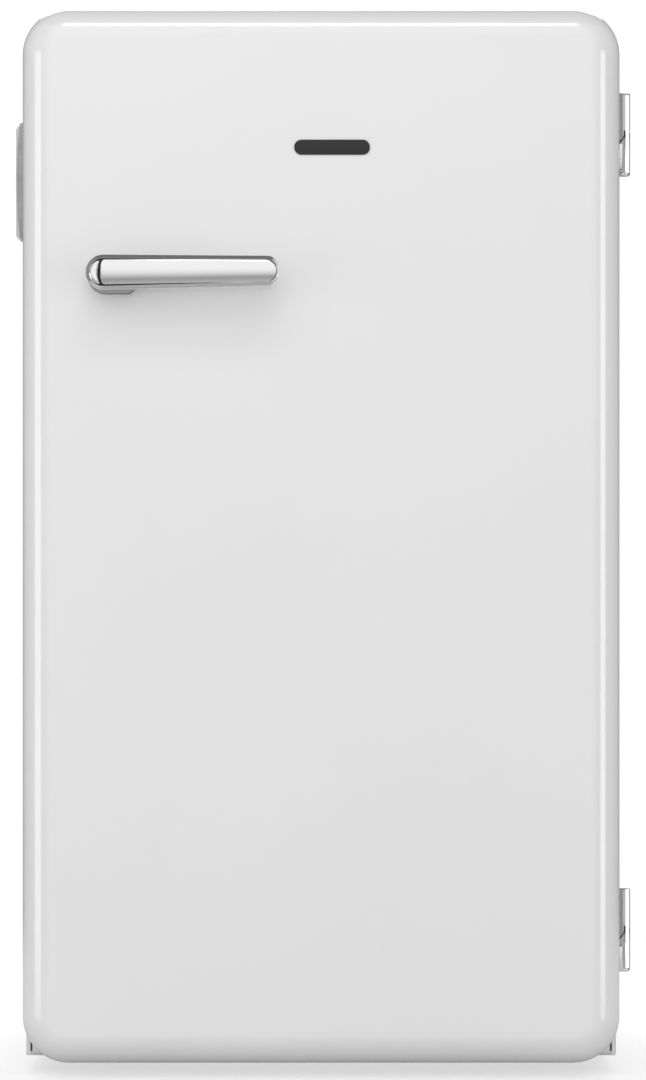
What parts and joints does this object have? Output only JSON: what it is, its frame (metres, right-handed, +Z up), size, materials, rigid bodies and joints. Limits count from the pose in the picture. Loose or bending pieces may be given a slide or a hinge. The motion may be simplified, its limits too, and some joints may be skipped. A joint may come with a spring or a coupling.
{
  "type": "mini fridge",
  "caption": "White retro single-door bar fridge with a rounded door, chrome pull handle, exposed chrome hinges and a side bottle opener.",
  "frame": {"origin": "bottom centre of the bounding box, on the floor under the feet", "axes": "+Z up, +Y into the fridge from its door to its back, +X to the right seen from the front"},
  "size_m": [0.497, 0.532, 0.85],
  "materials": {
    "white_enamel": "gloss enamel",
    "galvanised": "galvanised sheet",
    "foam": "rigid foam, matt",
    "liner_white": "smooth",
    "frosted": "frosted",
    "clear_plastic": "clear",
    "glass": "clear",
    "trim_white": "smooth",
    "gasket_white": "soft, matt",
    "magnet": "matt",
    "chrome": "polished",
    "screw_steel": "zinc plated",
    "satin_steel": "satin",
    "aluminium": "satin",
    "black_steel": "semi-gloss black",
    "copper": "dull copper",
    "black_plastic": "matt",
    "black_rubber": "matt",
    "nylon": "smooth",
    "control_metal": "satin",
    "knob_grey": "fine texture",
    "badge_black": "gloss"
  },
  "bodies": {
    "cabinet": {"cabinet_shell": "white_enamel", "base_pan": "galvanised", "back_panel": "galvanised", "cabinet_foam": "foam", "inner_liner": "liner_white", "back_screws": "screw_steel", "condenser_coils": "copper", "shelf_glass": "glass", "crisper_cover": "glass", "shelf_trims": "trim_white", "crisper_drawer": "clear_plastic", "freezer_box": "aluminium", "freezer_frame": "liner_white", "thermostat_housing": "liner_white", "thermostat_body": "control_metal", "compressor": "black_steel", "compressor_bracket": "black_steel", "compressor_mounts": "black_rubber", "mount_bolts": "screw_steel", "bay_plate": "galvanised", "relay_cover": "black_plastic", "evaporation_tray": "black_plastic", "drain_tube": "black_plastic", "suction_tube": "copper", "capillary_tube": "copper", "discharge_tube": "copper", "link_tubes": "copper", "filter_drier": "copper", "cord_gland": "black_plastic", "rear_feet": "black_plastic", "foot_sockets": "black_plastic", "hinge_cabinet_halves": "chrome", "hinge_pins": "chrome", "hinge_washers": "nylon", "hinge_cabinet_screws": "screw_steel", "opener_plate": "satin_steel", "opener_housing": "trim_white", "opener_screws": "screw_steel"},
    "door": {"door_skin": "white_enamel", "door_foam": "foam", "door_liner": "liner_white", "door_gasket": "gasket_white", "gasket_magnet": "magnet", "rack_top": "clear_plastic", "rack_middle": "clear_plastic", "rack_bottom": "clear_plastic", "rack_rails": "chrome", "handle_base": "satin_steel", "handle_arm": "chrome", "handle_cover": "chrome", "handle_end_cap": "chrome", "handle_screws": "screw_steel", "badge": "badge_black", "hinge_door_halves": "chrome", "hinge_door_screws": "screw_steel"},
    "flap": {"freezer_flap": "frosted"},
    "tray": {"drip_tray": "liner_white"},
    "knob": {"thermostat_knob": "knob_grey"},
    "left_foot": {"foot_left": "black_plastic"},
    "right_foot": {"foot_right": "black_plastic"}
  },
  "joints": [
    {"name": "door_hinge", "type": "hinge", "parent": "cabinet", "child": "door", "pos_m": [0.243, -0.16, 0.433], "axis": [0, 0, 1], "range_deg": [0, 130]},
    {"name": "freezer_flap_hinge", "type": "hinge", "parent": "cabinet", "child": "flap", "pos_m": [0, -0.0032, 0.672], "axis": [1, 0, 0], "range_deg": [0, 90]},
    {"name": "drip_tray_slide", "type": "slide", "parent": "cabinet", "child": "tray", "axis": [0, -1, 0], "range_m": [0, 0.09]},
    {"name": "thermostat_turn", "type": "hinge", "parent": "cabinet", "child": "knob", "pos_m": [0.17, -0.0465, 0.609], "axis": [0, -1, 0], "range_deg": [0, 270]},
    {"name": "left_foot_level", "type": "slide", "parent": "cabinet", "child": "left_foot", "axis": [0, 0, -1], "range_m": [0, 0.012]},
    {"name": "right_foot_level", "type": "slide", "parent": "cabinet", "child": "right_foot", "axis": [0, 0, -1], "range_m": [0, 0.012]}
  ]
}
